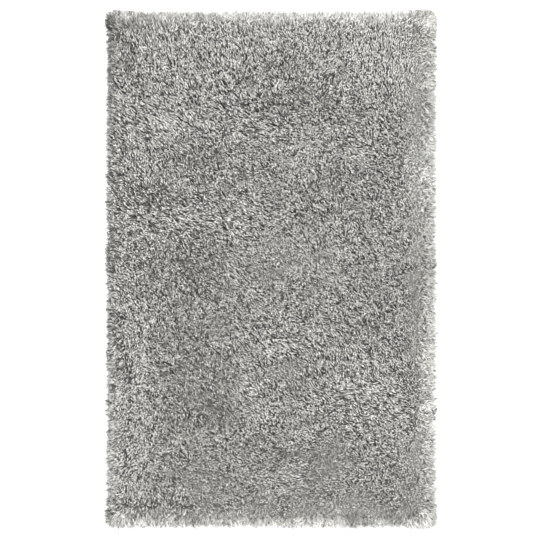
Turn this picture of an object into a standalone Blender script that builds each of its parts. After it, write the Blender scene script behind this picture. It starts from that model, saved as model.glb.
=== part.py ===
"""A shag rug of five by eight feet, lying flat on the floor.

Two pieces: the woven backing cloth, and the long pile that is tufted into it. The pile is one
lumpy slab, rolled off at its shoulders, with a fringe of pointed yarn locks splayed out round
its rim. Metres, +Z up. The origin is on the floor under the rug's centre, +Y along its length.
"""

import math
import random

import bmesh
import bpy
from mathutils import Vector

# Backing cloth, cut to the rug's nominal five by eight feet
BACKING_WIDTH = 1.524
BACKING_LENGTH = 2.438
BACKING_THICKNESS = 0.003
BACKING_CORNER = 0.020
BACKING_EASING = 0.0008
CORNER_STEPS = 6

# Pile slab: matted yarn standing on the backing and leaning out past its edge all round
FACE_GAP = 0.0003
PILE_UNDERSIDE = BACKING_THICKNESS + FACE_GAP
PILE_HEIGHT = 0.036
PILE_SPILL = 0.026
PILE_CORNER = 0.060
RIM_HEIGHT = 0.023
SHOULDER_INSET = 0.020
SHOULDER_WIDTH = 0.075

# Cells of the slab's top. Each cell along the rim has five columns of wall, and two are locks
CELLS_ACROSS = 28
CELLS_ALONG = 46
COLUMN_EDGES = (0.0, 0.06, 0.44, 0.56, 0.94)
LOCK_COLUMNS = (1, 3)

# Tufts clump and part unevenly, so each corner of the cells is shifted and raised or sunk, and
# each cell has a crown in its middle, raised by somewhere between these two heights
TUFT_SEED = 11
TUFT_SHIFT = 0.014
TUFT_RISE = 0.0045
CROWN_RISE = (0.0015, 0.0085)
RIM_TUFT_RISE = 0.0030

# Waves of the trodden surface: lengths across and along, turn of the crests, height
SURFACE_WAVES = (
    {"across": 0.210, "along": 0.330, "phase": 0.4, "height": 0.0022},
    {"across": 0.135, "along": 0.118, "phase": 2.1, "height": 0.0020},
    {"across": 0.420, "along": 0.260, "phase": 4.4, "height": 0.0016},
)

# Clumps (height above 0) and hollows (height below 0) pressed in the pile: centre, reach, height
CLUMPS = (
    {"x": -0.73, "y": 1.14, "wide": 0.10, "long": 0.16, "height": -0.006},
    {"x": 0.20, "y": 0.86, "wide": 0.25, "long": 0.08, "height": -0.006},
    {"x": -0.35, "y": 0.57, "wide": 0.10, "long": 0.07, "height": -0.005},
    {"x": -0.53, "y": 0.32, "wide": 0.17, "long": 0.06, "height": -0.007},
    {"x": 0.33, "y": 0.44, "wide": 0.10, "long": 0.07, "height": -0.005},
    {"x": -0.32, "y": -0.01, "wide": 0.13, "long": 0.20, "height": -0.007},
    {"x": 0.17, "y": 0.01, "wide": 0.09, "long": 0.10, "height": -0.004},
    {"x": -0.04, "y": -0.30, "wide": 0.16, "long": 0.05, "height": -0.005},
    {"x": -0.30, "y": -0.62, "wide": 0.13, "long": 0.20, "height": -0.007},
    {"x": 0.00, "y": -0.88, "wide": 0.16, "long": 0.05, "height": -0.005},
    {"x": -0.57, "y": 0.66, "wide": 0.16, "long": 0.08, "height": 0.005},
    {"x": 0.16, "y": 0.58, "wide": 0.10, "long": 0.14, "height": 0.006},
    {"x": 0.61, "y": 1.09, "wide": 0.13, "long": 0.14, "height": 0.005},
    {"x": -0.02, "y": 0.12, "wide": 0.12, "long": 0.12, "height": 0.005},
    {"x": 0.45, "y": 0.08, "wide": 0.16, "long": 0.10, "height": 0.005},
    {"x": 0.33, "y": -0.42, "wide": 0.12, "long": 0.09, "height": 0.005},
    {"x": 0.53, "y": -0.67, "wide": 0.18, "long": 0.06, "height": 0.004},
    {"x": -0.70, "y": -0.45, "wide": 0.10, "long": 0.35, "height": 0.004},
)

# Waves of the rim's edge in plan: whole waves round the rug, and how far they push it in and out
RIM_WAVES = (
    {"count": 23, "phase": 0.3, "push": 0.0022},
    {"count": 61, "phase": 1.9, "push": 0.0016},
)

# Yarn locks of the rim, dealt out in turn: how far the tip reaches past the backing, its shift
# along the edge, its height, and whether the lock lies on the floor
LOCKS = (
    {"reach": 0.056, "shift": 0.005, "tip": 0.000, "lies": True},
    {"reach": 0.045, "shift": -0.006, "tip": 0.013, "lies": False},
    {"reach": 0.051, "shift": 0.002, "tip": 0.007, "lies": False},
    {"reach": 0.042, "shift": 0.006, "tip": 0.017, "lies": False},
    {"reach": 0.053, "shift": -0.004, "tip": 0.000, "lies": True},
    {"reach": 0.047, "shift": -0.002, "tip": 0.011, "lies": False},
    {"reach": 0.050, "shift": 0.004, "tip": 0.015, "lies": False},
)
LOCK_KNEE = 0.55
LOCK_KNEE_WIDTH = 0.62
LOCK_KNEE_DEPTH = 0.012

SMOOTH_ANGLE = math.radians(40)
YARN_GREY = (0.46, 0.455, 0.43, 1.0)
CANVAS_GREY = (0.50, 0.48, 0.43, 1.0)


def clear_scene():
    for thing in list(bpy.data.objects):
        bpy.data.objects.remove(thing, do_unlink=True)


def textile_material(name, colour, roughness):
    material = bpy.data.materials.new(name)
    material.use_nodes = True
    shader = material.node_tree.nodes["Principled BSDF"]
    shader.inputs["Base Color"].default_value = colour
    shader.inputs["Roughness"].default_value = roughness
    shader.inputs["Metallic"].default_value = 0.0
    return material


def object_from(mesh_maker, name, material):
    """The closed mesh as an object at the origin, with its faces turned outwards."""
    bmesh.ops.recalc_face_normals(mesh_maker, faces=mesh_maker.faces)
    mesh = bpy.data.meshes.new(name)
    mesh_maker.to_mesh(mesh)
    mesh_maker.free()
    mesh.materials.append(material)
    mesh.shade_smooth()
    mesh.set_sharp_from_angle(angle=SMOOTH_ANGLE)
    made = bpy.data.objects.new(name, mesh)
    bpy.context.scene.collection.objects.link(made)
    return made


def edge_point(x, y, half_width, half_length, corner):
    """A point of a rectangle's edge, moved onto its rounded corner, and its outward direction."""
    past_x = max(0.0, abs(x) - (half_width - corner))
    past_y = max(0.0, abs(y) - (half_length - corner))
    out = Vector((math.copysign(past_x, x), math.copysign(past_y, y), 0.0)).normalized()
    if past_x == 0.0 or past_y == 0.0:
        return Vector((x, y, 0.0)), out
    centre_x = math.copysign(half_width - corner, x)
    centre_y = math.copysign(half_length - corner, y)
    return Vector((centre_x, centre_y, 0.0)) + corner * out, out


def surface_height(x, y, from_edge):
    """Top of the pile: rolled off like a quarter ellipse at the rim, with waves and clumps."""
    share = min(from_edge / SHOULDER_WIDTH, 1.0)
    roll = math.sqrt(1.0 - (1.0 - share) ** 2)
    height = RIM_HEIGHT + (PILE_HEIGHT - RIM_HEIGHT) * roll
    for wave in SURFACE_WAVES:
        turn_x = math.tau * x / wave["across"] + wave["phase"]
        turn_y = math.tau * y / wave["along"] - wave["phase"]
        height += wave["height"] * roll * math.sin(turn_x + math.sin(turn_y)) * math.cos(turn_y)
    for clump in CLUMPS:
        far = ((x - clump["x"]) / clump["wide"]) ** 2 + ((y - clump["y"]) / clump["long"]) ** 2
        height += clump["height"] * roll * math.exp(-far)
    return height


def rim_order():
    """The cells' corners round the rim, anticlockwise from the front left one."""
    front = [(i, 0) for i in range(CELLS_ACROSS)]
    right = [(CELLS_ACROSS, j) for j in range(CELLS_ALONG)]
    back = [(i, CELLS_ALONG) for i in range(CELLS_ACROSS, 0, -1)]
    left = [(0, j) for j in range(CELLS_ALONG, 0, -1)]
    return front + right + back + left


def rim_push(share):
    """How far the rim's waves push its edge out, at this share of the way round."""
    return sum(w["push"] * math.sin(math.tau * w["count"] * share + w["phase"]) for w in RIM_WAVES)


def rim_plan():
    """(mean point, outward direction, push) of each edge of the rim's wall columns."""
    half_width = BACKING_WIDTH / 2 + PILE_SPILL
    half_length = BACKING_LENGTH / 2 + PILE_SPILL
    corners = rim_order()
    plan = []
    for step, (i, j) in enumerate(corners):
        next_i, next_j = corners[(step + 1) % len(corners)]
        for share in COLUMN_EDGES:
            x = half_width * (2 * (i + share * (next_i - i)) / CELLS_ACROSS - 1)
            y = half_length * (2 * (j + share * (next_j - j)) / CELLS_ALONG - 1)
            mean, out = edge_point(x, y, half_width, half_length, PILE_CORNER)
            plan.append((mean, out, rim_push((step + share) / len(corners))))
    return plan


def add_top(maker, wall_top, tufts):
    """The slab's top: a grid of uneven cells with crowns, and a strip of faces down to the rim."""
    half_width = BACKING_WIDTH / 2 + PILE_SPILL - SHOULDER_INSET
    half_length = BACKING_LENGTH / 2 + PILE_SPILL - SHOULDER_INSET
    corner = PILE_CORNER - SHOULDER_INSET
    grid = {}
    for i in range(CELLS_ACROSS + 1):
        for j in range(CELLS_ALONG + 1):
            x = half_width * (2 * i / CELLS_ACROSS - 1)
            y = half_length * (2 * j / CELLS_ALONG - 1)
            if i in (0, CELLS_ACROSS) or j in (0, CELLS_ALONG):
                point, _ = edge_point(x, y, half_width, half_length, corner)
            else:
                shift_x = tufts.uniform(-TUFT_SHIFT, TUFT_SHIFT)
                shift_y = tufts.uniform(-TUFT_SHIFT, TUFT_SHIFT)
                point = Vector((x + shift_x, y + shift_y, 0.0))
            inside = min(half_width - abs(point.x), half_length - abs(point.y))
            point.z = surface_height(point.x, point.y, SHOULDER_INSET + inside)
            point.z += tufts.uniform(-TUFT_RISE, TUFT_RISE)
            grid[i, j] = maker.verts.new(point)
    for i in range(CELLS_ACROSS):
        for j in range(CELLS_ALONG):
            cell = (grid[i, j], grid[i + 1, j], grid[i + 1, j + 1], grid[i, j + 1])
            crown = bmesh.ops.poke(maker, faces=[maker.faces.new(cell)])["verts"][0]
            crown.co.z += tufts.uniform(*CROWN_RISE)
    corners = rim_order()
    per_cell = len(COLUMN_EDGES)
    for step, here in enumerate(corners):
        after = corners[(step + 1) % len(corners)]
        first = step * per_cell
        strip = [wall_top[(first + k) % len(wall_top)] for k in range(per_cell + 1)]
        maker.faces.new([*strip, grid[after], grid[here]])


def add_underside(maker, wall_foot):
    """The slab's flat underside, in strips that run across from wall to wall."""
    per_cell = len(COLUMN_EDGES)
    front_end = CELLS_ACROSS * per_cell
    right_end = front_end + CELLS_ALONG * per_cell
    back_end = right_end + CELLS_ACROSS * per_cell
    ring = [*wall_foot, wall_foot[0]]
    for j in range(CELLS_ALONG):
        right_start = front_end + j * per_cell
        left_start = back_end + (CELLS_ALONG - 1 - j) * per_cell
        strip = ring[right_start : right_start + per_cell + 1]
        if j == CELLS_ALONG - 1:
            strip += ring[right_end + 1 : back_end]
        strip += ring[left_start : left_start + per_cell + 1]
        if j == 0:
            strip += ring[1:front_end]
        maker.faces.new(strip)


def pull_lock(maker, face, lock, mean, out):
    """Draws one face of the wall out into a pointed yarn lock, bent at its knee."""
    along = Vector((-out.y, out.x, 0.0))
    root = face.calc_center_median()
    root.z = 0.0
    tip = mean + out * (lock["reach"] - PILE_SPILL) + along * lock["shift"]
    tip.z = lock["tip"]
    knee_foot = 0.0 if lock["lies"] else (PILE_UNDERSIDE + lock["tip"]) / 2
    middle = root.lerp(tip, LOCK_KNEE)
    knee = bmesh.ops.extrude_discrete_faces(maker, faces=[face])["faces"][0]
    for corner in knee.verts:
        is_foot = corner.co.z < (PILE_UNDERSIDE + RIM_HEIGHT) / 2
        side = (corner.co - root).dot(along) * LOCK_KNEE_WIDTH
        corner.co = middle + along * side
        corner.co.z = knee_foot if is_foot else knee_foot + LOCK_KNEE_DEPTH
    bmesh.ops.poke(maker, faces=[knee])["verts"][0].co = tip


def make_backing():
    maker = bmesh.new()
    half_width = BACKING_WIDTH / 2
    half_length = BACKING_LENGTH / 2
    outline = []
    for quarter, (side_x, side_y) in enumerate(((1, 1), (-1, 1), (-1, -1), (1, -1))):
        centre_x = side_x * (half_width - BACKING_CORNER)
        centre_y = side_y * (half_length - BACKING_CORNER)
        for step in range(CORNER_STEPS + 1):
            turn = math.pi / 2 * (quarter + step / CORNER_STEPS)
            x = centre_x + BACKING_CORNER * math.cos(turn)
            y = centre_y + BACKING_CORNER * math.sin(turn)
            outline.append(maker.verts.new((x, y, 0.0)))
    foot = maker.faces.new(outline)
    raised = bmesh.ops.extrude_face_region(maker, geom=[foot], use_keep_orig=True)
    top = [part for part in raised["geom"] if isinstance(part, bmesh.types.BMVert)]
    bmesh.ops.translate(maker, verts=top, vec=(0.0, 0.0, BACKING_THICKNESS))
    canvas = textile_material("canvas", CANVAS_GREY, 0.9)
    backing = object_from(maker, "backing", canvas)
    easing = backing.modifiers.new("eased edges", "BEVEL")
    easing.width = BACKING_EASING
    easing.segments = 2
    easing.limit_method = "ANGLE"
    easing.angle_limit = math.radians(60)


def make_pile():
    maker = bmesh.new()
    tufts = random.Random(TUFT_SEED)
    plan = rim_plan()
    wall_foot = []
    wall_top = []
    for mean, out, push in plan:
        point = mean + out * push
        point.z = PILE_UNDERSIDE
        wall_foot.append(maker.verts.new(point))
        point.z = RIM_HEIGHT + tufts.uniform(-RIM_TUFT_RISE, RIM_TUFT_RISE)
        wall_top.append(maker.verts.new(point))
    wall = []
    for k in range(len(plan)):
        after = (k + 1) % len(plan)
        wall.append(maker.faces.new((wall_foot[k], wall_foot[after], wall_top[after], wall_top[k])))
    add_top(maker, wall_top, tufts)
    add_underside(maker, wall_foot)
    roots = [k for k in range(len(plan)) if k % len(COLUMN_EDGES) in LOCK_COLUMNS]
    for dealt, k in enumerate(roots):
        mean, out, _ = plan[k]
        next_mean, next_out, _ = plan[(k + 1) % len(plan)]
        lock = LOCKS[dealt % len(LOCKS)]
        pull_lock(maker, wall[k], lock, (mean + next_mean) / 2, (out + next_out).normalized())
    object_from(maker, "pile", textile_material("yarn", YARN_GREY, 0.85))


clear_scene()
make_backing()
make_pile()
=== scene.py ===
"""A light grey shag rug of five by eight feet, seen from straight above on a pale floor.

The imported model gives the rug's size. Here its backing cloth gets its weave, and its pile
is built strand by strand. Metres, +Z up, the origin on the floor under the rug's centre.
"""

import math

import bpy
import numpy as np
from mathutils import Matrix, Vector


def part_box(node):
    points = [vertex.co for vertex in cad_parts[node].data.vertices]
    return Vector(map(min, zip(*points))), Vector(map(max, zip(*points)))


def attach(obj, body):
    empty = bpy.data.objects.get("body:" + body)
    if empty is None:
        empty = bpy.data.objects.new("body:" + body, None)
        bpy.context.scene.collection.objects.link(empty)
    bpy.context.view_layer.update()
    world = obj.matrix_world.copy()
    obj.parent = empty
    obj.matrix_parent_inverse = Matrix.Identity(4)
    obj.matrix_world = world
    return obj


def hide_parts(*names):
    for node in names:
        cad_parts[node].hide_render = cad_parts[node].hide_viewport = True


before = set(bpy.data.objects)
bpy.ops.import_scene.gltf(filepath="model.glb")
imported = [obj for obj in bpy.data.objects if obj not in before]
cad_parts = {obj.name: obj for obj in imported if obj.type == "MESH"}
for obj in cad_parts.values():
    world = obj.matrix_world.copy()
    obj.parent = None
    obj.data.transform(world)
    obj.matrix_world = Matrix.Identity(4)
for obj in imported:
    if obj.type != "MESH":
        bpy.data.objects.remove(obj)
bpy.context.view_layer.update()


# ------------------------------------------------------------------ camera and studio
# A long lens looks straight down from above the rug's middle, with the rug's length up
# the picture. A large soft light stands overhead to the right, in a room with pale walls.

PICTURE_PIXELS = 540
METRES_PER_PIXEL = 0.004914
RUG_CENTRE_PIXEL = (270.55, 269.3)
LENS_MM = 135
SENSOR_MM = 36
VIEW_DEPTH = 400
LIGHT_FROM = (1.2, 0.5, 4.0)
LIGHT_POWER = 3.7
LIGHT_WIDTH = math.radians(24)

# The room's light by the height of its direction, 0 at the horizon and 1 overhead
WALL_LIGHT = 1.0
WALLS_END = 0.10
CEILING_LIGHT = 0.60
CEILING_START = 0.35

camera = bpy.data.objects.new("camera", bpy.data.cameras.new("camera"))
camera.data.lens = LENS_MM
camera.data.sensor_width = SENSOR_MM
camera.data.clip_end = VIEW_DEPTH
camera.location = (
    (PICTURE_PIXELS / 2 - RUG_CENTRE_PIXEL[0]) * METRES_PER_PIXEL,
    (RUG_CENTRE_PIXEL[1] - PICTURE_PIXELS / 2) * METRES_PER_PIXEL,
    PICTURE_PIXELS * METRES_PER_PIXEL * LENS_MM / SENSOR_MM,
)
bpy.context.scene.collection.objects.link(camera)
bpy.context.scene.camera = camera
bpy.context.scene.view_settings.view_transform = "Standard"

lamp = bpy.data.lights.new("overhead_light", "SUN")
lamp.energy = LIGHT_POWER
lamp.angle = LIGHT_WIDTH
light = bpy.data.objects.new("overhead_light", lamp)
light.rotation_euler = Vector(LIGHT_FROM).to_track_quat("Z", "Y").to_euler()
bpy.context.scene.collection.objects.link(light)

world = bpy.data.worlds.new("studio")
world.use_nodes = True
nodes = world.node_tree.nodes
direction = nodes.new("ShaderNodeTexCoord")
parts = nodes.new("ShaderNodeSeparateXYZ")
room = nodes.new("ShaderNodeValToRGB")
wall, ceiling = room.color_ramp.elements
wall.position = WALLS_END
wall.color = (WALL_LIGHT, WALL_LIGHT, WALL_LIGHT, 1.0)
ceiling.position = CEILING_START
ceiling.color = (CEILING_LIGHT, CEILING_LIGHT, CEILING_LIGHT, 1.0)
world.node_tree.links.new(direction.outputs["Generated"], parts.inputs[0])
world.node_tree.links.new(parts.outputs["Z"], room.inputs[0])
world.node_tree.links.new(room.outputs[0], nodes["Background"].inputs["Color"])
bpy.context.scene.world = world


# ------------------------------------------------------------------ backing cloth
# A coarse woven cloth, cut to the rug's nominal size, that the yarn is tufted through.
# It lies flat on the floor, and the pile hides it from above.

CANVAS_THREAD = 0.0032
CANVAS_LIGHT = (0.62, 0.59, 0.52, 1.0)
CANVAS_DARK = (0.30, 0.27, 0.22, 1.0)
CANVAS_ROUGHNESS = 0.92
CANVAS_SHEEN = 0.1

# How much each counts in the cloth's tone, the middle of noise, and the tone where it is palest
OVER_SHARE = 0.5
FLUFF_SHARE = 0.6
WEAR_SHARE = 0.5
THREAD_SHARE = 1.8
NOISE_MIDDLE = 0.5
PALEST = 0.75


class Value:
    """One output of a shader node. Sums and products on it add Math nodes."""

    def __init__(self, finish, socket):
        self.finish = finish
        self.socket = socket

    def maths(self, operation, *values):
        """A Math node with this operation on these values."""
        return self.finish.node("ShaderNodeMath", {"operation": operation}, *values)

    def sine(self):
        """The sine of this value, taken in radians."""
        return self.maths("SINE", self)

    def __add__(self, other):
        return self.maths("ADD", self, other)

    def __sub__(self, other):
        return self.maths("SUBTRACT", self, other)

    def __mul__(self, other):
        return self.maths("MULTIPLY", self, other)

    def __rsub__(self, other):
        return self.maths("SUBTRACT", other, self)

    __radd__ = __add__
    __rmul__ = __mul__


class Finish:
    """A material with one Principled shader, and the nodes that feed it."""

    def __init__(self, name, roughness, sheen=0.0):
        self.material = bpy.data.materials.new(name)
        self.material.use_nodes = True
        self.tree = self.material.node_tree
        self.shader = self.tree.nodes["Principled BSDF"]
        self.shader.inputs["Roughness"].default_value = roughness
        self.shader.inputs["Sheen Weight"].default_value = sheen

    def node(self, kind, settings, *values, out=0, **named):
        """Adds a node, sets it, fills its sockets in order or by name, and returns an output."""
        made = self.tree.nodes.new(kind)
        for setting, value in settings.items():
            setattr(made, setting, value)
        slots = {**dict(enumerate(values)), **named}
        for slot, value in slots.items():
            if isinstance(value, Value):
                self.tree.links.new(value.socket, made.inputs[slot])
            else:
                made.inputs[slot].default_value = value
        return Value(self, made.outputs[out])

    def attribute(self, name):
        """A number that the mesh carries at its points or corners."""
        return self.node("ShaderNodeAttribute", {"attribute_name": name}, out="Fac")

    def ramp(self, factor, *stops):
        """A colour ramp with these (place, colour) stops."""
        made = self.tree.nodes.new("ShaderNodeValToRGB")
        elements = made.color_ramp.elements
        while len(elements) < len(stops):
            elements.new(0.5)
        for element, (place, colour) in zip(elements, stops, strict=True):
            element.position = place
            element.color = colour
        self.tree.links.new(factor.socket, made.inputs[0])
        return Value(self, made.outputs[0])

    def feed(self, slot, value):
        """Links a value to one of the shader's own sockets."""
        self.tree.links.new(value.socket, self.shader.inputs[slot])


def canvas_finish():
    """Plain weave: the product of sine waves across and along stands for threads over and under.
    Each thread has a tone of its own, from noise along one axis, and wide noise wears the cloth."""
    finish = Finish("canvas", CANVAS_ROUGHNESS, CANVAS_SHEEN)
    place = finish.node("ShaderNodeTexCoord", {}, out="Object")
    x = finish.node("ShaderNodeSeparateXYZ", {}, place, out="X")
    y = finish.node("ShaderNodeSeparateXYZ", {}, place, out="Y")
    threads = 1 / CANVAS_THREAD
    turns = math.pi / CANVAS_THREAD
    over = (x * turns).sine() * (y * turns).sine()
    fluff = finish.node("ShaderNodeTexNoise", {}, Vector=place, Scale=240.0, Detail=3.0)
    wear = finish.node("ShaderNodeTexNoise", {}, Vector=place, Scale=5.0, Detail=4.0)
    weave = over * OVER_SHARE + fluff * FLUFF_SHARE
    tone = weave + (wear - NOISE_MIDDLE) * WEAR_SHARE
    along_axis = {"noise_dimensions": "1D"}
    for across in (x * threads, y * threads):
        thread = finish.node("ShaderNodeTexNoise", along_axis, W=across, Scale=0.7, Detail=3.0)
        tone = tone + (thread - NOISE_MIDDLE) * wear * THREAD_SHARE
    finish.feed("Base Color", finish.ramp(tone, (0.0, CANVAS_DARK), (PALEST, CANVAS_LIGHT)))
    bump = finish.node("ShaderNodeBump", {}, Height=weave, Strength=0.6, Distance=0.0006)
    finish.feed("Normal", bump)
    return finish.material


backing_low, backing_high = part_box("backing")
HALF_WIDTH = backing_high.x
HALF_LENGTH = backing_high.y
BACKING_TOP = backing_high.z
BACKING_CORNER = 0.020
BACKING_DIP = 0.0004
BACKING_GRID = (40, 64)
SHARP_ANGLE = math.radians(50)


def inside_rim(x, y, past, corner):
    """How far inside the rug's rounded outline a point lies, with the outline this far past the
    backing, and the outward direction there: the signed distance to a rounded rectangle."""
    off_x = np.abs(x) - (HALF_WIDTH + past - corner)
    off_y = np.abs(y) - (HALF_LENGTH + past - corner)
    out_x = np.maximum(off_x, 0)
    out_y = np.maximum(off_y, 0)
    round_corner = np.hypot(out_x, out_y)
    inside = corner - round_corner - np.minimum(np.maximum(off_x, off_y), 0)
    flat = round_corner < 1e-9
    out_x = np.where(flat, off_x > off_y, out_x)
    out_y = np.where(flat, off_x <= off_y, out_y)
    length = np.hypot(out_x, out_y)
    return inside, np.sign(x) * out_x / length, np.sign(y) * out_y / length


def drift(x, y, seed, shortest, longest, waves=18):
    """Smooth noise of about unit size: a sum of sine waves of chance heading, length and phase."""
    chance = np.random.default_rng(seed)
    heading = chance.uniform(0, math.tau, waves)
    length = np.exp(chance.uniform(math.log(shortest), math.log(longest), waves))
    phase = chance.uniform(0, math.tau, waves)
    total = np.zeros_like(x)
    for turn, reach, start in zip(heading, length, phase, strict=True):
        along = x * math.cos(turn) + y * math.sin(turn)
        total += np.sin(math.tau * along / reach + start)
    return total * math.sqrt(2 / waves)


def slab(name, past, corner, grid, heights, underside, material):
    """A closed slab: a top grid at heights(x, y, inside), one flat face below and walls between.
    The grid's outermost points are pulled on to the rounded outline, this far past the backing."""
    half_x = HALF_WIDTH + past
    half_y = HALF_LENGTH + past
    x, y = np.meshgrid(
        np.linspace(-half_x, half_x, grid[0]), np.linspace(-half_y, half_y, grid[1]), indexing="ij"
    )
    inside, out_x, out_y = inside_rim(x, y, past, corner)
    pull = np.minimum(inside, 0)
    x = x + out_x * pull
    y = y + out_y * pull
    points = np.stack([x, y, heights(x, y, np.maximum(inside, 0))], -1).reshape(-1, 3)
    index = np.arange(x.size).reshape(grid)
    quads = np.stack([index[:-1, :-1], index[1:, :-1], index[1:, 1:], index[:-1, 1:]], -1)
    ring = np.concatenate([index[:-1, 0], index[-1, :-1], index[:0:-1, -1], index[0, :0:-1]])
    low_ring = points[ring]
    low_ring[:, 2] = underside
    below = index.size + np.arange(len(ring))
    walls = np.stack([below, np.roll(below, -1), np.roll(ring, -1), ring], -1)
    faces = quads.reshape(-1, 4).tolist() + walls.tolist() + [below[::-1].tolist()]
    mesh = bpy.data.meshes.new(name)
    mesh.from_pydata(np.concatenate([points, low_ring]).tolist(), [], faces)
    mesh.materials.append(material)
    mesh.shade_smooth()
    mesh.set_sharp_from_angle(angle=SHARP_ANGLE)
    piece = bpy.data.objects.new(name, mesh)
    bpy.context.scene.collection.objects.link(piece)
    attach(piece, "root")
    return piece


def backing_heights(x, y, inside):
    """The backing's top: its full thickness, less shallow dips from wave to wave of the cloth."""
    waves = np.clip(drift(x, y, seed=31, shortest=0.08, longest=0.3), -2, 2)
    return BACKING_TOP - BACKING_DIP * (0.5 + waves / 4)


backing = slab(
    "backing_cloth",
    0.0,
    BACKING_CORNER,
    BACKING_GRID,
    backing_heights,
    backing_low.z,
    canvas_finish(),
)
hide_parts("backing")


# ------------------------------------------------------------------ pile bed
# The yarn's lower half, packed too closely to see between. It fills the pile from the
# backing to half its height. Its colour is painted shade: the pale yarn is drawn dark for the
# shade deep in the pile, less dark where the pile is closed.

PILE_HEIGHT = 0.038
PILE_REACH = 0.050
RIM_HEIGHT = 0.005
SHOULDER_WIDTH = 0.072
PILE_CORNER = 0.060

# Waves of the trodden surface: length across, length along, phase, height
SURFACE_WAVES = np.array(
    [
        (0.210, 0.330, 0.4, 0.0022),
        (0.135, 0.118, 2.1, 0.0020),
        (0.420, 0.260, 4.4, 0.0016),
    ]
)

# Clumps (height above 0) and hollows (height below 0): x, y, reach across, along, height
CLUMPS = np.array(
    [
        (-0.73, 1.14, 0.10, 0.16, -0.006),
        (0.20, 0.86, 0.25, 0.08, -0.006),
        (-0.35, 0.57, 0.10, 0.07, -0.005),
        (-0.53, 0.32, 0.17, 0.06, -0.007),
        (0.33, 0.44, 0.10, 0.07, -0.005),
        (-0.32, -0.01, 0.13, 0.20, -0.007),
        (0.17, 0.01, 0.09, 0.10, -0.004),
        (-0.04, -0.30, 0.16, 0.05, -0.005),
        (-0.30, -0.62, 0.13, 0.20, -0.007),
        (0.00, -0.88, 0.16, 0.05, -0.005),
        (-0.57, 0.66, 0.16, 0.08, 0.005),
        (0.16, 0.58, 0.10, 0.14, 0.006),
        (0.61, 1.09, 0.13, 0.14, 0.005),
        (-0.02, 0.12, 0.12, 0.12, 0.005),
        (0.45, 0.08, 0.16, 0.10, 0.005),
        (0.33, -0.42, 0.12, 0.09, 0.005),
        (0.53, -0.67, 0.18, 0.06, 0.004),
        (-0.70, -0.45, 0.10, 0.35, 0.004),
    ]
)


def bell_curves(x, y, places):
    """The weight of each patch at each point, (point, patch): a bell curve across and along, with
    the table's first four columns as its middle and its reach."""
    across = (x[..., None] - places[:, 0]) / places[:, 2]
    along = (y[..., None] - places[:, 1]) / places[:, 3]
    return np.exp(-(across**2) - along**2)


def pile_height(x, y):
    """The pile's mean top: rolled off at the rim as a quarter ellipse, with waves and clumps."""
    inside, _, _ = inside_rim(x, y, PILE_REACH, PILE_CORNER)
    share = np.clip(inside / SHOULDER_WIDTH, 0, 1)
    roll = np.sqrt(1 - (1 - share) ** 2)
    turn_x = math.tau * x[..., None] / SURFACE_WAVES[:, 0] + SURFACE_WAVES[:, 2]
    turn_y = math.tau * y[..., None] / SURFACE_WAVES[:, 1] - SURFACE_WAVES[:, 2]
    waves = SURFACE_WAVES[:, 3] * np.sin(turn_x + np.sin(turn_y)) * np.cos(turn_y)
    clumps = (CLUMPS[:, 4] * bell_curves(x, y, CLUMPS)).sum(-1)
    return RIM_HEIGHT + roll * (PILE_HEIGHT - RIM_HEIGHT + waves.sum(-1) + clumps)
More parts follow.
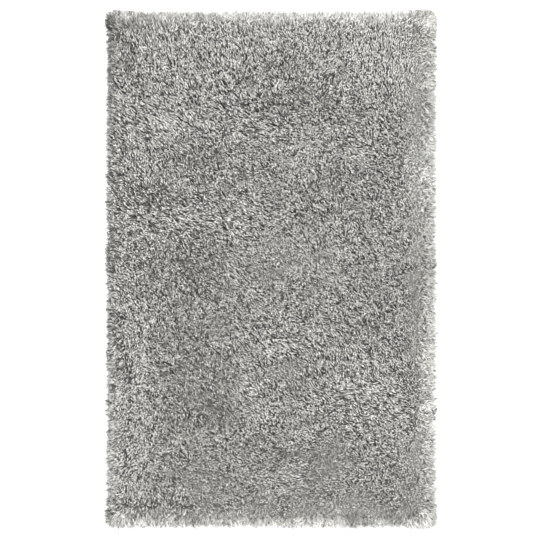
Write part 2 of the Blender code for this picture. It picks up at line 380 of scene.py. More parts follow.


# Patches of the pile: x, y, reach across, along, change of tone, partly the yarn's own and partly
# painted light and shade, change of its contrast
PATCHES = np.array(
    [
        (-0.76, 1.12, 0.07, 0.13, -0.16, -0.1),
        (-0.70, 0.95, 0.07, 0.08, -0.16, 0.0),
        (-0.05, 0.88, 0.15, 0.08, -0.06, 0.0),
        (0.20, 0.79, 0.24, 0.07, -0.04, 0.0),
        (0.40, 0.68, 0.10, 0.05, -0.04, 0.0),
        (0.32, 0.45, 0.09, 0.06, -0.20, 0.0),
        (-0.37, 0.56, 0.11, 0.07, -0.16, 0.0),
        (-0.60, 0.33, 0.12, 0.06, -0.28, 0.0),
        (-0.38, 0.10, 0.10, 0.06, -0.04, 0.0),
        (-0.33, 0.30, 0.13, 0.05, -0.15, 0.0),
        (-0.35, 0.02, 0.11, 0.12, -0.18, 0.0),
        (-0.27, -0.11, 0.12, 0.05, -0.12, 0.1),
        (-0.62, 0.01, 0.10, 0.09, -0.14, 0.0),
        (-0.43, -0.34, 0.13, 0.20, -0.13, 0.0),
        (-0.03, -0.29, 0.11, 0.04, -0.06, 0.0),
        (-0.28, -0.53, 0.11, 0.10, -0.16, 0.0),
        (-0.27, -0.70, 0.11, 0.08, -0.20, -0.1),
        (0.33, -0.57, 0.06, 0.06, -0.06, 0.0),
        (0.35, -0.85, 0.08, 0.05, -0.05, 0.0),
        (-0.48, -0.68, 0.10, 0.16, -0.06, 0.0),
        (0.00, -0.90, 0.16, 0.05, -0.16, 0.0),
        (-0.35, -1.04, 0.20, 0.06, -0.10, -0.2),
        (0.66, -0.56, 0.05, 0.09, -0.14, 0.0),
        (0.70, -0.08, 0.05, 0.10, -0.04, 0.0),
        (0.00, 1.17, 0.46, 0.11, 0.34, 0.0),
        (0.52, 1.08, 0.17, 0.17, 0.55, 0.0),
        (0.60, 0.94, 0.12, 0.12, 0.30, -0.1),
        (0.55, 0.78, 0.10, 0.08, 0.08, 0.0),
        (0.44, 0.32, 0.14, 0.07, 0.06, 0.0),
        (0.48, -0.50, 0.10, 0.05, 0.08, 0.0),
        (-0.45, 0.66, 0.10, 0.05, 0.05, 0.0),
        (-0.22, 0.68, 0.08, 0.05, 0.14, 0.0),
        (-0.42, 0.97, 0.22, 0.14, 0.16, 0.0),
        (-0.62, 0.67, 0.22, 0.07, 0.20, 0.15),
        (0.17, 0.58, 0.11, 0.11, 0.46, 0.0),
        (0.68, 0.48, 0.08, 0.28, 0.24, 0.0),
        (0.05, 0.12, 0.20, 0.12, 0.12, -0.2),
        (0.37, 0.08, 0.07, 0.14, 0.16, 0.0),
        (0.60, 0.08, 0.09, 0.14, 0.16, 0.0),
        (0.70, -0.35, 0.06, 0.16, 0.12, 0.0),
        (0.70, -0.85, 0.06, 0.16, 0.12, 0.0),
        (-0.72, -0.28, 0.08, 0.24, 0.38, 0.15),
        (-0.70, -0.78, 0.09, 0.26, 0.34, -0.05),
        (-0.74, -1.06, 0.09, 0.14, 0.28, -0.15),
        (0.38, -0.42, 0.18, 0.07, 0.08, 0.0),
        (0.54, -0.62, 0.20, 0.15, 0.22, 0.75),
        (-0.03, -0.62, 0.09, 0.14, 0.12, 0.0),
        (0.20, -0.83, 0.12, 0.04, 0.05, 0.0),
        (0.20, -0.93, 0.12, 0.04, -0.08, 0.0),
        (-0.12, 0.74, 0.16, 0.13, 0.0, 0.5),
        (-0.45, 0.78, 0.18, 0.14, 0.0, 0.25),
        (0.46, 0.60, 0.10, 0.14, 0.0, 0.5),
        (-0.70, 0.30, 0.11, 0.40, 0.0, 0.35),
        (-0.30, 0.24, 0.30, 0.10, 0.0, 0.45),
        (0.08, -0.36, 0.17, 0.07, 0.0, 0.5),
        (0.10, -0.51, 0.12, 0.05, 0.0, -0.35),
        (0.05, 0.00, 0.22, 0.08, 0.0, -0.2),
        (-0.38, -0.85, 0.16, 0.20, 0.0, -0.12),
        (-0.20, -1.12, 0.18, 0.08, 0.04, -0.12),
        (-0.25, -0.27, 0.10, 0.08, 0.0, -0.2),
        (0.30, -0.95, 0.09, 0.08, -0.04, -0.5),
        (-0.72, 0.00, 0.06, 0.08, -0.08, 0.0),
        (-0.80, 1.25, 0.022, 0.022, -0.30, 0.0),
        (0.80, 1.04, 0.07, 0.28, -0.20, 0.0),
        (0.82, -1.24, 0.06, 0.06, -0.10, 0.0),
        (0.37, -1.17, 0.34, 0.10, 0.04, -0.4),
        (0.80, 0.00, 0.12, 1.60, 0.0, -0.35),
    ]
)

# Mottling of the contrast, drawn out across the rug: seed, shortest wave, longest wave, strength
MOTTLES = ((41, 0.05, 0.16, 0.24), (42, 0.025, 0.05, 0.18))
MOTTLE_DRAW = 0.6
CONTRAST_GAIN = 2.2
CONTRAST_RANGE = (0.3, 2.0)

# How far in from the edge the rim is even, at the right and at both ends, the radius of the
# corners there, and how even it is at the edge
EVEN_RIGHT = 0.085
EVEN_ENDS = 0.045
EVEN_CORNER = 0.05
EVENNESS = 0.84


def patches(x, y):
    """The patches' change of tone, a sum of bell curves, and the contrast of tones there: e to
    the power of a like sum and of smooth noise."""
    bell = bell_curves(x, y, PATCHES)
    mottle = np.zeros_like(x)
    for seed, shortest, longest, strength in MOTTLES:
        mottle += strength * drift(MOTTLE_DRAW * x, y, seed, shortest, longest)
    return bell @ PATCHES[:, 4], np.exp(CONTRAST_GAIN * bell @ PATCHES[:, 5] + mottle)


def rim_evenness(x, y):
    """How even the rim's tones are, with less painted shade there, 0 to 1: bell curves of the
    distance to the edge, wide at the right, narrower at both ends, and none at the left."""
    inside, out_x, out_y = inside_rim(x, y, 0.0, EVEN_CORNER)
    inside = np.maximum(inside, 0)
    right = np.maximum(out_x, 0) ** 2 * np.exp(-((inside / EVEN_RIGHT) ** 2))
    return right + out_y**2 * np.exp(-((inside / EVEN_ENDS) ** 2))


def pile_contrast(x, y):
    """How far tones differ, and how dark the painted shade at the roots and on the bed is, 1 on
    average: the patches' contrast, less where the rim is even.
    """
    _, contrast = patches(x, y)
    return np.clip(contrast, *CONTRAST_RANGE) * (1 - EVENNESS * rim_evenness(x, y))


BED_SHARE = 0.50
BED_BUMPS = 0.0012
BED_SPILL = 0.012
BED_CORNER = 0.035
BED_GAP = 0.0003
BED_EDGE_HEIGHT = 0.002
BED_EDGE_WIDTH = 0.02
BED_GRID = (74, 116)
BED_ROUGHNESS = 0.95
BED_SHADE_DARKEST = (0.03, 0.029, 0.026, 1.0)
BED_SHADE_PALEST = (0.46, 0.455, 0.43, 1.0)

# How pale the bed's painted shade is where contrast is 1, and how fast it pales where the pile closes
# up
BED_SHOWS = 0.17
BED_PALES = 2.2

# How strongly the fibres show in the bed's painted shade, and how much darker that leaves it
FIBRES_SHOW = 2.0
FIBRES_DARKEN = 0.3


def bed_heights(x, y, inside):
    """The bed's top: a share of the pile's height, uneven, rounded down to the backing at its rim."""
    bumps = BED_BUMPS * drift(x, y, seed=5, shortest=0.03, longest=0.09)
    top = pile_height(x, y) * BED_SHARE + bumps
    low = BACKING_TOP + BED_EDGE_HEIGHT
    return low + (top - low) * np.sqrt(np.clip(inside / BED_EDGE_WIDTH, 0, 1))


def bed_finish():
    """Deep yarn with painted shade: short fibres from dark to pale, paler where the pile is closed."""
    finish = Finish("painted_shade_yarn", BED_ROUGHNESS)
    place = finish.node("ShaderNodeTexCoord", {}, out="Object")
    fibres = finish.node("ShaderNodeTexNoise", {}, Vector=place, Scale=260.0, Detail=4.0)
    shade = finish.attribute("closed") * (fibres * FIBRES_SHOW - FIBRES_DARKEN)
    finish.feed("Base Color", finish.ramp(shade, (0.0, BED_SHADE_DARKEST), (1.0, BED_SHADE_PALEST)))
    finish.feed("Normal", finish.node("ShaderNodeBump", {}, Height=fibres, Distance=0.004))
    return finish.material


bed = slab(
    "pile_bed",
    BED_SPILL,
    BED_CORNER,
    BED_GRID,
    bed_heights,
    BACKING_TOP + BED_GAP,
    bed_finish(),
)
spots = np.empty(3 * len(bed.data.vertices), np.float32)
bed.data.vertices.foreach_get("co", spots)
spots = spots.astype(float).reshape(-1, 3)
# The bed's painted shade: near black where the pile is open, paler where it is closed
closed = BED_SHOWS * np.exp(BED_PALES * (1 - pile_contrast(spots[:, 0], spots[:, 1])))
bed.data.attributes.new("closed", "FLOAT", "POINT").data.foreach_set("value", closed)
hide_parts("pile")


# ------------------------------------------------------------------ tufts
# Thick twisted yarn, cut to one length and tufted in close rows. It leans and curls as it
# was trodden and brushed, and the outermost rows splay out past the backing.

# Rows of roots: their spacing, how far in from the edge they start, closer rows along the rim,
# and the roots added in each corner's square
ROW_SPACING = 0.0053
ROOT_INSET = 0.002
RIM_ROWS = (0.002, 0.006, 0.011)
RIM_SPACING = 0.0036
CORNER_EXTRA = 1500
CORNER_INSETS = (0.004, 0.045)


def tuft_roots(chance):
    """Root places on a grid of close rows, each moved a little, with closer rows along the rim
    and more at the corners, where the tufts fan out."""
    across = int(2 * HALF_WIDTH / ROW_SPACING)
    along = int(2 * HALF_LENGTH / ROW_SPACING)
    x, y = np.meshgrid(
        (np.arange(across) + 0.5) * 2 * HALF_WIDTH / across - HALF_WIDTH,
        (np.arange(along) + 0.5) * 2 * HALF_LENGTH / along - HALF_LENGTH,
        indexing="ij",
    )
    x = x + chance.uniform(-0.5, 0.5, x.shape) * ROW_SPACING
    y = y + chance.uniform(-0.5, 0.5, y.shape) * ROW_SPACING
    keep = inside_rim(x, y, 0.0, BACKING_CORNER)[0] > ROOT_INSET
    x = x[keep]
    y = y[keep]
    for inset in RIM_ROWS:
        wide = HALF_WIDTH - inset
        long = HALF_LENGTH - inset
        place = np.arange(0, 4 * (wide + long), RIM_SPACING)
        place = place + chance.uniform(-0.5, 0.5, place.shape) * RIM_SPACING
        starts = np.array([0, 2 * wide, 2 * wide + 2 * long, 4 * wide + 2 * long])
        side = np.searchsorted(starts[1:], place, side="right")
        along = place - starts[side]
        rim_x = np.choose(side, [along - wide, wide, wide - along, -wide])
        rim_y = np.choose(side, [-long, along - long, long, long - along])
        x = np.concatenate([x, rim_x])
        y = np.concatenate([y, rim_y])
    across = HALF_WIDTH - chance.uniform(*CORNER_INSETS, CORNER_EXTRA)
    along = HALF_LENGTH - chance.uniform(*CORNER_INSETS, CORNER_EXTRA)
    corner = np.arange(CORNER_EXTRA) % 4
    x = np.concatenate([x, across * np.where(corner % 2, 1, -1)])
    y = np.concatenate([y, along * np.where(corner // 2, 1, -1)])
    return x, y


# The grid of tufts: its spacing, how far its borders wander, and its first corner, off the rug
TUFT_SPACING = 0.020
BORDER_WANDER = 0.006
GRID_START = (-1.0, -1.5)


def tuft_cells(x, y):
    """Which tuft each strand belongs to: its cell in a grid of tufts whose borders wander and
    whose columns are staggered. Returns each strand's tuft, as a number, and each tuft's middle."""
    warp_x = x + BORDER_WANDER * drift(x, y, seed=21, shortest=0.03, longest=0.09)
    warp_y = y + BORDER_WANDER * drift(x, y, seed=22, shortest=0.03, longest=0.09)
    column = np.floor((warp_x - GRID_START[0]) / TUFT_SPACING).astype(int)
    row = np.floor((warp_y - GRID_START[1]) / TUFT_SPACING + 0.5 * (column % 2)).astype(int)
    _, tuft = np.unique(column * (row.max() + 1) + row, return_inverse=True)
    size = np.bincount(tuft)
    return tuft, np.stack([np.bincount(tuft, x) / size, np.bincount(tuft, y) / size], -1)


# How the pile lies: the line of the strands, in degrees from +X, at places across and along
LIE_ACROSS = np.linspace(-0.75, 0.75, 7)
LIE_ALONG = np.linspace(1.2, -1.2, 11)
LIE = np.array(
    [
        (105, 110, 112, 115, 105, 98, 70),
        (108, 120, 120, 122, 70, 105, 88),
        (148, 148, 155, 160, 155, 150, 125),
        (130, 115, 130, 150, 108, 160, 60),
        (165, 158, 170, 158, 125, 140, 110),
        (150, 120, 132, 130, 145, 138, 130),
        (110, 103, 140, 140, 155, 128, 140),
        (55, 150, 120, 155, 118, 130, 145),
        (55, 108, 130, 130, 145, 162, 165),
        (55, 135, 160, 176, 170, 140, 120),
        (80, 93, 130, 178, 180, 155, 150),
    ]
)

# Combed patches, where strands lie alike: x, y, reach across, along, line in degrees, strength
COMBED = np.array(
    [
        (-0.60, 1.12, 0.18, 0.12, 108, 0.9),
        (-0.20, 1.06, 0.20, 0.14, 112, 0.7),
        (0.02, 1.17, 0.14, 0.08, 118, 0.8),
        (0.56, 1.10, 0.10, 0.16, 98, 0.8),
        (0.67, 0.90, 0.08, 0.12, 88, 0.9),
        (-0.52, 0.70, 0.10, 0.16, 146, 1.0),
        (-0.39, 0.73, 0.07, 0.06, 152, 0.7),
        (-0.72, 0.74, 0.08, 0.10, 148, 0.6),
        (-0.05, 0.67, 0.08, 0.07, 172, 0.7),
        (0.45, 0.57, 0.07, 0.06, 178, 0.8),
        (-0.25, 0.25, 0.20, 0.06, 170, 0.7),
        (-0.04, 0.33, 0.10, 0.10, 163, 0.5),
        (-0.13, -0.03, 0.10, 0.14, 143, 0.9),
        (0.27, 0.00, 0.08, 0.20, 142, 0.7),
        (0.46, -0.10, 0.05, 0.12, 140, 0.7),
        (0.10, -0.38, 0.12, 0.06, 164, 0.8),
        (0.29, -0.45, 0.06, 0.10, 112, 0.6),
        (-0.11, -0.62, 0.09, 0.10, 146, 0.9),
        (0.50, -0.61, 0.22, 0.05, 166, 0.7),
        (0.62, -0.72, 0.06, 0.06, 172, 0.8),
        (0.12, -1.03, 0.12, 0.10, 178, 1.0),
        (-0.55, -1.12, 0.12, 0.08, 105, 0.6),
    ]
)

# How far each place's line counts, how strongly combing counts, and the lowest heading
LIE_BLEND = 0.14
COMB_PULL = 1.5
LIE_FROM = math.radians(40)


def lie_heading(x, y):
    """The pile's heading, within a half turn, and how combed it is, 0 to 1. Both tables' lines
    count with their angles doubled, as a line has no front, weighted by bell curves."""
    across = np.exp(-(((x[:, None] - LIE_ACROSS) / LIE_BLEND) ** 2))
    along = np.exp(-(((y[:, None] - LIE_ALONG) / LIE_BLEND) ** 2))
    weight = np.einsum("ni,nj->nij", along, across).reshape(len(x), -1)
    lie = weight / weight.sum(1)[:, None] @ np.exp(2j * np.radians(LIE.ravel()))
    bell = COMBED[:, 5] * bell_curves(x, y, COMBED)
    combed = np.clip(bell.sum(1), 0, 1)
    lie = lie * (1 - combed) + COMB_PULL * bell @ np.exp(2j * np.radians(COMBED[:, 4]))
    return (np.angle(lie) / 2 - LIE_FROM) % math.pi + LIE_FROM, combed


# The splay of the outer rows: how far in it starts, the power by which it falls off, the share
# of chance, and the radius of the corners round which it fans out
SPLAY_REACH = 0.062
SPLAY_POWER = 1.2
SPLAY_CHANCE = 1.2
SPLAY_CORNER = 0.09


def strand_splay(inside, chance):
    """How far each strand splays out, 0 to 1: more towards the edge, and by chance in between."""
    splay = np.clip(1 - inside / SPLAY_REACH, 0, 1) ** SPLAY_POWER
    splay = splay + SPLAY_CHANCE * splay * (1 - splay) * chance.normal(0, 1, len(inside))
    return np.clip(splay, 0, 1)


# How far headings differ, in radians: in swirls, from tuft to tuft, and from strand to strand,
# where they differ less as the contrast grows. Combing calms all three
SWIRL = 0.25
TUFT_SWIRL = 0.25
STRAND_TURN = 1.0
TURN_PER_CONTRAST = 0.36
TURN_RANGE = (0.25, 0.9)
COMBED_SWIRL = 0.7
COMBED_TURN = 0.8

# Strands nearer the edge than this, by chance, fall outwards. Splayed ones turn to face out
LEAN_OUT = 0.085
LEAN_OUT_CHANCE = 0.05
FACE_OUT = 0.8
FACE_OUT_CHANGE = 0.25
SPLAY_TURN = 0.4


def strand_headings(x, y, contrast, splay, tuft, chance):
    """Each strand's heading, and how combed it is. The lie of the pile is stirred by swirls and by
    chance, turned about where it would point inwards at the edge, and turned outwards by splay."""
    count = len(x)
    inside, out_x, out_y = inside_rim(x, y, 0.0, SPLAY_CORNER)
    lie, combed = lie_heading(x, y)
    swirl = SWIRL * drift(x, y, seed=1, shortest=0.035, longest=0.14)
    swirl = swirl + chance.normal(0, TUFT_SWIRL, tuft.max() + 1)[tuft]
    swirl *= 1 - COMBED_SWIRL * combed
    turn = np.clip(STRAND_TURN - TURN_PER_CONTRAST * contrast, *TURN_RANGE)
    turn *= 1 - COMBED_TURN * combed
    lie += swirl + turn * chance.normal(0, 1, count)
    turn_out = np.arctan2(out_y, out_x) - lie
    near_edge = inside < LEAN_OUT - LEAN_OUT_CHANCE * chance.uniform(0, 1, count)
    about = math.pi * ((np.cos(turn_out) < 0) & near_edge)
    lie += about
    turn_out = (turn_out - about + math.pi) % math.tau - math.pi
    heading = lie + turn_out * splay * (FACE_OUT - FACE_OUT_CHANGE * np.cos(turn_out))
    return heading + SPLAY_TURN * splay * chance.normal(0, 1, count), combed


YARN_RADIUS = 0.0020
YARN_LENGTH = 0.034
PATH_STEPS = 12

# Growth of the length and the thickness of strands with contrast: at none, for each 1, range
GROWTH = 0.7
GROWTH_PER_CONTRAST = 0.3
GROWTH_RANGE = (0.8, 1.35)

# Changes of the length: at the top of the pile, by chance, and where a strand splays out, with
# more at the right and at the corners
TOP_TRIM = 0.2
LENGTH_CHANCE = 0.15
SPLAY_LONGER = 0.82
SPLAY_LONGER_RIGHT = 0.29
SPLAY_LONGER_CORNER = 0.8

# Slope of a strand at its root, and at its tip, in degrees: mean, chance, and how much less
# where it splays out or is combed. And how its bend is spread
RISE = 62
RISE_CHANCE = 12
RISE_SPLAYED = 30
RISE_COMBED = 15
DROOP = 8
DROOP_CHANCE = 26
DROOP_SPLAYED = 60
BEND_POWER = 0.7

# Sideways curl over a strand's length, in radians: from tuft to tuft and from strand to strand
TUFT_CURL = 0.5
STRAND_CURL = 0.4
CURL_COMBED = 0.6
CURL_START = 0.3


def strand_growth(contrast, splay):
    """How much longer and thicker a strand is, 0 for not at all: with contrast, and not at the rim."""
    growth = np.clip(GROWTH + GROWTH_PER_CONTRAST * contrast, *GROWTH_RANGE) - 1
    return growth * (1 - splay)


def strand_curves(heading, combed, growth, splay, out_x, out_y, tuft, chance):
    """Each strand's points from its root, (strand, step, axis). It climbs at its root and bends
    over towards its heading, while it turns sideways: the sum of short steps of its direction."""
    count = len(heading)
    length = 1 + growth - TOP_TRIM * (1 - splay) + LENGTH_CHANCE * chance.normal(0, 1, count)
    longer = SPLAY_LONGER + SPLAY_LONGER_RIGHT * out_x + SPLAY_LONGER_CORNER * np.abs(out_x * out_y)
    length = YARN_LENGTH * length * (1 + longer * splay)
    rise = RISE + RISE_CHANCE * chance.normal(0, 1, count) - RISE_SPLAYED * splay
    rise = np.radians(rise - RISE_COMBED * combed * (1 - splay))
    droop = DROOP + DROOP_CHANCE * chance.normal(0, 1, count) - DROOP_SPLAYED * splay**2
    droop = np.radians(droop)
    curl = chance.normal(0, TUFT_CURL, tuft.max() + 1)[tuft] + chance.normal(0, STRAND_CURL, count)
    curl *= 1 - CURL_COMBED * combed
    share = (np.arange(PATH_STEPS) + 0.5) / PATH_STEPS
    lift = rise[:, None] + (droop - rise)[:, None] * share**BEND_POWER
    turn = heading[:, None] + curl[:, None] * (share - CURL_START)
    step = (length / PATH_STEPS)[:, None, None] * np.stack(
        [np.cos(lift) * np.cos(turn), np.cos(lift) * np.sin(turn), np.sin(lift)], -1
    )
    return np.concatenate([np.zeros((count, 1, 3)), np.cumsum(step, 1)], 1)


# How deep a strand's crest lies: how few lie deep, how far tufts differ, and the deepest
DEPTH_POWER = 1.4
TUFT_DEPTH = 0.10
DEPTH_LIMIT = 1.2


def strand_depths(tuft, chance):
    """How deep each strand lies, 0 at the pile's top: a power of chance, and each tuft's own."""
    depth = chance.uniform(0, 1, len(tuft)) ** DEPTH_POWER
    return np.clip(depth + TUFT_DEPTH * chance.normal(0, 1, tuft.max() + 1)[tuft], 0, DEPTH_LIMIT)


# A crest's height as a share of the pile's: the highest, how much lower for each depth and
# contrast, and the contrast past which it is no lower
CREST_TOP = 1.06
CREST_FALL = 0.22
CREST_CONTRAST = 1.3

# How far tips are drawn to their tuft's middle, and how that is spread along the strand
GATHER = 0.06
GATHER_POWER = 1.5

# The outline that holds the tips in: how far past the backing, its corner, its unevenness, and
# the share by which a tip past it is drawn back
TIP_REACH = 0.053
TIP_CORNER = 0.040
TIP_UNEVEN = 0.0025
TIP_HOLD = 0.8

# How far past its edge the backing lifts strands, and a strand's lowest height in its radii
LIFT_PAST = 0.002
LOWEST_RADII = 1.3


def seat_strands(path, x, y, contrast, depth, tuft, middle, chance):
    """Moves each strand on to its root and its crest to its depth below the pile's top. Tips are
    gathered towards their tuft's middle and held within the rug's outline, and no point lies
    lower than the floor or the backing."""
    crest = path[:, :, 2].max(1)
    half = PATH_STEPS // 2
    top = pile_height(x + path[:, half, 0], y + path[:, half, 1])
    wanted = top * (CREST_TOP - CREST_FALL * np.minimum(contrast, CREST_CONTRAST) * depth)
    path[:, :, 0] += x[:, None]
    path[:, :, 1] += y[:, None]
    path[:, :, 2] += (wanted - crest - YARN_RADIUS)[:, None]
    gather = GATHER * np.linspace(0, 1, PATH_STEPS + 1) ** GATHER_POWER
    pull = middle[tuft] - np.stack([x, y], -1)
    path[:, :, :2] += pull[:, None, :] * gather[None, :, None]
    far, away_x, away_y = inside_rim(path[:, :, 0], path[:, :, 1], TIP_REACH, TIP_CORNER)
    over = np.maximum(TIP_UNEVEN * chance.normal(0, 1, len(x))[:, None] - far, 0) * TIP_HOLD
    path[:, :, 0] -= away_x * over
    path[:, :, 1] -= away_y * over
    on_backing = inside_rim(path[:, :, 0], path[:, :, 1], LIFT_PAST, BACKING_CORNER)[0] > 0
    lowest = YARN_RADIUS * LOWEST_RADII + BACKING_TOP * on_backing
    path[:, :, 2] = np.maximum(path[:, :, 2], lowest)


# A strand's three corners: their places along it, as shares of its length, and the painted shade of
# its root, its corners and its tip, the top corner lighter and the lower two darker as light falls
# from above.
# Where it splays out, its corners are further on and it is thinner
YARN_SIDES = 3
CORNER_PLACES = (0.62, 0.40, 0.84)
CORNER_PAINTED_SHADES = (1.0, 1.05, 0.85, 0.85, 1.0)
SPLAY_FURTHER = 0.2
SPLAY_THINNER = 0.25
THICKNESS_CHANCE = 0.2
THICKNESS_RANGE = (0.7, 1.4)


def strand_tubes(path, splay, growth, chance):
    """Three-sided spindles along the paths: a pointed root, a corner on top where the yarn bends
    over, one lower down at each side, before and after it, and a pointed tip. The corners are
    further on at the rim. Returns (strand, point, axis)."""
    count = len(path)
    every = np.arange(count)
    spin = chance.uniform(0, 1, count)
    thickness = np.clip(1 + THICKNESS_CHANCE * chance.normal(0, 1, count), *THICKNESS_RANGE)
    size = YARN_RADIUS * (1 + growth) * thickness * (1 - SPLAY_THINNER * splay)
    points = [path[:, 0]]
    for corner, place in enumerate(CORNER_PLACES):
        at = np.round(place * (1 + SPLAY_FURTHER * splay) * PATH_STEPS)
        at = np.minimum(at, PATH_STEPS - 1).astype(int)
        tangent = path[every, at + 1] - path[every, at - 1]
        tangent /= np.linalg.norm(tangent, axis=1)[:, None]
        side = np.cross(tangent, (0.0, 0.0, 1.0))
        side /= np.linalg.norm(side, axis=1)[:, None] + 1e-9
        up = np.cross(side, tangent)
        turn = math.pi / 2 + spin + corner * math.tau / YARN_SIDES
        offset = side * np.cos(turn)[:, None] + up * np.sin(turn)[:, None]
        points.append(path[every, at] + offset * size[:, None])
    points.append(path[:, -1])
    return np.stack(points, 1)


# A strand's tone: mean, chance and the fall with depth, which is painted shade, then its gain where
# the pile is open
TONE_MEAN = 0.675
TONE_CHANCE = 0.51
DEPTH_PAINTED_SHADE = 0.15
OPEN_GAIN = 0.20
OPEN_RANGE = (0.85, 1.25)
PATCH_GAIN = 1.85
DRIFT_GAIN = 0.08
DRIFT_DRAW = 0.4
TONE_RANGE = (0.05, 1.15)

# The few palest and darkest tufts: from how many deviations on, and their change of tone
PALE_FROM = 2.0
PALE_CHANGE = 0.30
DARK_FROM = -1.8
DARK_CHANGE = -0.20

# Painted light and shade along the rim: paler at both ends and at the right, darker at the very
# left edge, and paler bands inside the left and right edges. Fades: change at the edge, reach.
# Bands: change, place, reach
TONE_CORNER = 0.05
TOP_PAINTED_LIGHT = (0.09, 0.025)
BOTTOM_PAINTED_LIGHT = (0.34, 0.025)
RIGHT_PAINTED_LIGHT = (0.10, 0.014)
LEFT_PAINTED_SHADE = (-0.42, 0.023)
RIGHT_PAINTED_LIGHT_BAND = (0.11, 0.042, 0.026)
LEFT_PAINTED_LIGHT_BAND = (0.32, 0.060, 0.027)


def fade(edge, change, reach):
    """A change of tone at the edge that falls off inwards, by a factor of e for each reach."""
    return change * np.exp(-edge / reach)


def band(edge, change, place, reach):
    """A change of tone along a band, a bell curve of the distance in from the edge."""
    return change * np.exp(-(((edge - place) / reach) ** 2))


def strand_tones(x, y, tip_x, tip_y, contrast, combed, depth, tuft, chance):
    """Each strand's tone: the mean, darker deep down as painted shade, and more or less by chance
    times contrast, with the patches, partly painted light and shade, a drift from place to place, odd
    tufts and the rim's painted light and shade."""
    change, open_pile = patches(x, y)
    # Deeper strands are drawn darker, a painted shade, on top of the tone that differs by chance
    own = TONE_CHANCE * chance.normal(0, 1, len(x)) - DEPTH_PAINTED_SHADE * depth
    tone = TONE_MEAN * np.clip(1 + OPEN_GAIN * (open_pile - 1), *OPEN_RANGE) + contrast * own
    drifting = drift(DRIFT_DRAW * x, y, seed=51, shortest=0.03, longest=0.10)
    tone *= 1 + PATCH_GAIN * change + DRIFT_GAIN * drifting
    odd = chance.normal(0, 1, tuft.max() + 1)[tuft]
    odd_tone = PALE_CHANGE * (odd > PALE_FROM) + DARK_CHANGE * (1 - combed) * (odd < DARK_FROM)
    tone += contrast * odd_tone
    # The rim's painted light at both ends and the right, and painted shade at the left edge with a
    # painted lighter band inside it
    edge, out_x, out_y = inside_rim(tip_x, tip_y, PILE_REACH, TONE_CORNER)
    edge = np.maximum(edge, 0)
    ends = np.where(out_y > 0, fade(edge, *TOP_PAINTED_LIGHT), fade(edge, *BOTTOM_PAINTED_LIGHT))
    tone += out_y**4 * ends
    tone += np.maximum(out_x, 0) ** 2 * (fade(edge, *RIGHT_PAINTED_LIGHT) + band(edge, *RIGHT_PAINTED_LIGHT_BAND))
    tone += np.maximum(-out_x, 0) ** 2 * (fade(edge, *LEFT_PAINTED_SHADE) + band(edge, *LEFT_PAINTED_LIGHT_BAND))
    return np.clip(tone, *TONE_RANGE)


# Painted shade along a strand, for the shade deep in the pile: none from this place on, and at its
# root by how closed the pile is
SHADE_END = 0.7
ROOT_SHADE = 0.10
ROOT_SHADE_CLOSED = 0.6
ROOT_SHADE_RANGE = (0.02, 0.6)


def painted_shade_along(contrast):
    """The painted shade at each of a strand's points, (strand, point): it rises evenly from the root's
    dark painted shade to 1, and each point's own painted shade multiplies it."""
    places = np.array([0.0, *CORNER_PLACES, 1.0])
    root = np.clip(ROOT_SHADE + ROOT_SHADE_CLOSED * (1 - contrast), *ROOT_SHADE_RANGE)[:, None]
    return (root + (1 - root) * np.clip(places / SHADE_END, 0, 1)) * CORNER_PAINTED_SHADES


# Turns of the ply over a strand's length, its shift from one strand to the next, and the
# margins of a strand's cell in the map, round and along
PLY_TURNS = 2.2
PLY_SHIFT = 0.37
CELL_MARGINS = (0.08, 0.04)


def tufts_piece(name, tubes, tones, material):
    """One mesh of many strands, each of three faces from its root to its corners and three on to
    its tip, with a map that gives each strand its own cell, u round it and v along it."""
    count = len(tubes)
    mesh = bpy.data.meshes.new(name)
    tip = YARN_SIDES + 1
    faces = []
    uv = []
    for side in range(YARN_SIDES):
        after = (side + 1) % YARN_SIDES
        near = 1 + side
        far = 1 + after
        near_uv = (side, CORNER_PLACES[side])
        far_uv = (side + 1, CORNER_PLACES[after])
        faces += [(far, near, 0), (near, far, tip)]
        uv += [far_uv, near_uv, (side + 0.5, 0.0), near_uv, far_uv, (side + 0.5, 1.0)]
    template = np.array(faces).ravel()
    uv = np.array(uv) / (YARN_SIDES, 1)
    corners = (template[None, :] + tubes.shape[1] * np.arange(count)[:, None]).ravel()
    mesh.vertices.add(count * tubes.shape[1])
    mesh.vertices.foreach_set("co", tubes.astype(np.float32).ravel())
    mesh.loops.add(len(corners))
    mesh.loops.foreach_set("vertex_index", corners.astype(np.int32))
    mesh.polygons.add(len(corners) // 3)
    mesh.polygons.foreach_set("loop_start", np.arange(0, len(corners), 3, dtype=np.int32))
    mesh.update(calc_edges=True)
    columns = math.ceil(math.sqrt(2 * count))
    rows = math.ceil(count / columns)
    cell = np.arange(count)
    margin_u, margin_v = CELL_MARGINS
    u = (cell % columns)[:, None] + margin_u + (1 - 2 * margin_u) * uv[None, :, 0]
    v = (cell // columns)[:, None] + margin_v + (1 - 2 * margin_v) * uv[None, :, 1]
    layer = mesh.uv_layers.new(name="OFBake")
    placed = np.stack([u / columns, v / rows], -1)
    layer.uv.foreach_set("vector", placed.astype(np.float32).ravel())
    ply = uv[:, 0][None, :] + PLY_TURNS * uv[:, 1][None, :] + cell[:, None] * PLY_SHIFT
    attribute = mesh.attributes.new("ply", "FLOAT", "CORNER")
    attribute.data.foreach_set("value", ply.astype(np.float32).ravel())
    for label, values in tones.items():
        attribute = mesh.attributes.new(label, "FLOAT", "POINT")
        attribute.data.foreach_set("value", values.astype(np.float32).ravel())
    mesh.materials.append(material)
    mesh.shade_smooth()
    piece = bpy.data.objects.new(name, mesh)
    bpy.context.scene.collection.objects.link(piece)
    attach(piece, "root")
    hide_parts("pile")
    return piece


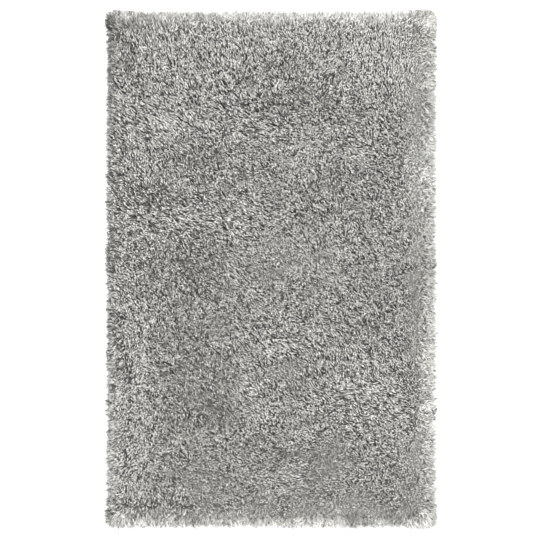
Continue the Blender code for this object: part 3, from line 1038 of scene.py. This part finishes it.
YARN_ROUGHNESS = 0.42
YARN_SHEEN = 0.15
YARN_DARK_AND_SHADED = (0.035, 0.034, 0.029, 1.0)
YARN_COLOUR = (0.500, 0.496, 0.462, 1.0)
YARN_PALE = (0.90, 0.896, 0.864, 1.0)
YARN_MIDDLE = 0.55


def yarn_finish():
    """Each strand has its own tone, darker towards its root and at its lower sides as painted shade,
    with the turns of its ply as painted light and shade.
    """
    finish = Finish("yarn", YARN_ROUGHNESS, YARN_SHEEN)
    tone = finish.attribute("tone")
    # The along attribute is painted shade: dark at the root and on a strand's lower sides
    along = finish.attribute("along")
    # The ply's turns drawn as stripes of painted light and shade round each strand
    ply = (finish.attribute("ply") * math.tau).sine()
    shade = tone * along * (ply * finish.attribute("ply_painted_shading") + 1.0)
    stops = ((0.0, YARN_DARK_AND_SHADED), (YARN_MIDDLE, YARN_COLOUR), (1.0, YARN_PALE))
    finish.feed("Base Color", finish.ramp(shade, *stops))
    return finish.material


# How strongly the ply's painted light and shade shows, how much less where combed, and the strips that
# share the strands
PLY_PAINTED_SHADING = 0.45
PLY_PAINTED_SHADING_COMBED = 0.5
PIECES = 6
SEED = 7

chance = np.random.default_rng(SEED)
root_x, root_y = tuft_roots(chance)
contrast = pile_contrast(root_x, root_y)
tuft, middle = tuft_cells(root_x, root_y)
inside, out_x, out_y = inside_rim(root_x, root_y, 0.0, SPLAY_CORNER)
splay = strand_splay(inside, chance)
heading, combed = strand_headings(root_x, root_y, contrast, splay, tuft, chance)
growth = strand_growth(contrast, splay)
paths = strand_curves(heading, combed, growth, splay, out_x, out_y, tuft, chance)
depth = strand_depths(tuft, chance)
seat_strands(paths, root_x, root_y, contrast, depth, tuft, middle, chance)
tubes = strand_tubes(paths, splay, growth, chance)
tips = paths[:, -1]
tone = strand_tones(root_x, root_y, tips[:, 0], tips[:, 1], contrast, combed, depth, tuft, chance)
along = painted_shade_along(contrast)
ply_painted_shading = PLY_PAINTED_SHADING * contrast * (1 - PLY_PAINTED_SHADING_COMBED * combed)
yarn = yarn_finish()
strip = np.clip(((root_x / HALF_WIDTH + 1) / 2 * PIECES).astype(int), 0, PIECES - 1)
for number in range(PIECES):
    mine = strip == number
    tones = {
        "tone": np.repeat(tone[mine], tubes.shape[1]),
        "along": along[mine],
        "ply_painted_shading": np.repeat(ply_painted_shading[mine], tubes.shape[1]),
    }
    tufts_piece(f"tufts_{number + 1}", tubes[mine], tones, yarn)


# ------------------------------------------------------------------ floor
# Plain, pale and matt, and no part of the rug.

FLOOR_HALF = 150.0
FLOOR_COLOUR = (0.93, 0.93, 0.93, 1.0)
FLOOR_ROUGHNESS = 0.9

floor_mesh = bpy.data.meshes.new("floor")
floor_mesh.from_pydata(
    [(x * FLOOR_HALF, y * FLOOR_HALF, 0.0) for x, y in ((-1, -1), (1, -1), (1, 1), (-1, 1))],
    [],
    [(0, 1, 2, 3)],
)
floor_finish = Finish("floor", FLOOR_ROUGHNESS)
floor_finish.shader.inputs["Base Color"].default_value = FLOOR_COLOUR
floor_mesh.materials.append(floor_finish.material)
floor = bpy.data.objects.new("floor", floor_mesh)
bpy.context.scene.collection.objects.link(floor)
